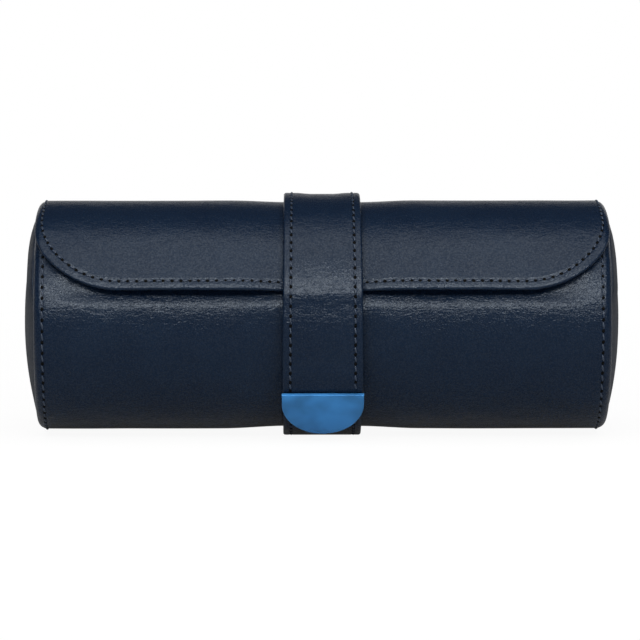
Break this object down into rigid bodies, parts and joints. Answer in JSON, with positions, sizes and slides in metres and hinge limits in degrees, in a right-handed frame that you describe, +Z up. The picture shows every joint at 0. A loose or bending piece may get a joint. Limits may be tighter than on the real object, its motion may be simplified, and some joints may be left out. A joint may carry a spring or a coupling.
{
  "type": "watch travel case",
  "caption": "Leather-covered roll case for watches with a hinged lid, a closing strap with a flat metal tip on a magnet catch, domed ends, padded partitions and lift-out cushions.",
  "frame": {"origin": "centre of the flat on which the strap under the case rests", "axes": "+X along the roll to the right as seen from the front, +Y to the back, +Z up"},
  "size_m": [0.2092, 0.0853, 0.0849],
  "materials": {
    "leather_navy": "navy smooth grain, satin",
    "leather_end": "navy smooth grain, satin",
    "suede": "napped suede, matt",
    "board": "pressed grey board, matt",
    "foam": "soft filling, matt",
    "tip_lacquer": "blue lacquer, gloss",
    "brass": "plain",
    "magnet": "nickel plated",
    "steel": "plain"
  },
  "bodies": {
    "case": {"shell_leather": "leather_navy", "shell_board": "board", "shell_lining": "suede", "mouth_edge_front": "leather_navy", "mouth_edge_rear": "leather_navy", "hinge_strip": "leather_navy", "lower_strap": "leather_navy", "catch_plate": "steel", "end_rim_left": "leather_navy", "end_rim_right": "leather_navy", "end_board_left": "board", "end_board_right": "board", "end_lining_left": "suede", "end_lining_right": "suede", "end_cap_left": "leather_end", "end_cap_right": "leather_end", "end_padding_left": "foam", "end_padding_right": "foam", "divider_core_left": "board", "divider_core_right": "board", "divider_cover_left": "suede", "divider_cover_right": "suede"},
    "lid": {"lid_leather": "leather_navy", "lid_board": "board", "lid_lining": "suede", "upper_strap_leather": "leather_navy", "upper_strap_backing": "leather_navy"},
    "strap_end": {"tail_leather": "leather_navy", "tail_backing": "leather_navy", "tip_plate": "tip_lacquer", "tip_rivets": "brass", "tip_magnet": "magnet"},
    "cushion_left": {"cushion_cover_left": "suede", "cushion_core_left": "foam", "cushion_ends_left": "suede"},
    "cushion_centre": {"cushion_cover_centre": "suede", "cushion_core_centre": "foam", "cushion_ends_centre": "suede"},
    "cushion_right": {"cushion_cover_right": "suede", "cushion_core_right": "foam", "cushion_ends_right": "suede"}
  },
  "joints": [
    {"name": "lid_hinge", "type": "hinge", "parent": "case", "child": "lid", "pos_m": [0, 0.03381, 0.06482], "axis": [-1, 0, 0], "range_deg": [0, 110]},
    {"name": "strap_fold", "type": "hinge", "parent": "lid", "child": "strap_end", "pos_m": [0, -0.04219, 0.05376], "axis": [-1, 0, 0], "range_deg": [0, 95]},
    {"name": "cushion_lift_left", "type": "slide", "parent": "case", "child": "cushion_left", "axis": [0, 0, 1], "range_m": [0, 0.075]},
    {"name": "cushion_lift_centre", "type": "slide", "parent": "case", "child": "cushion_centre", "axis": [0, 0, 1], "range_m": [0, 0.075]},
    {"name": "cushion_lift_right", "type": "slide", "parent": "case", "child": "cushion_right", "axis": [0, 0, 1], "range_m": [0, 0.075]}
  ],
  "couplings": [
    {"joint": "cushion_lift_left", "follows": "lid_hinge", "m_per_rad": 0.03906},
    {"joint": "cushion_lift_centre", "follows": "lid_hinge", "m_per_rad": 0.03906},
    {"joint": "cushion_lift_right", "follows": "lid_hinge", "m_per_rad": 0.03906}
  ]
}
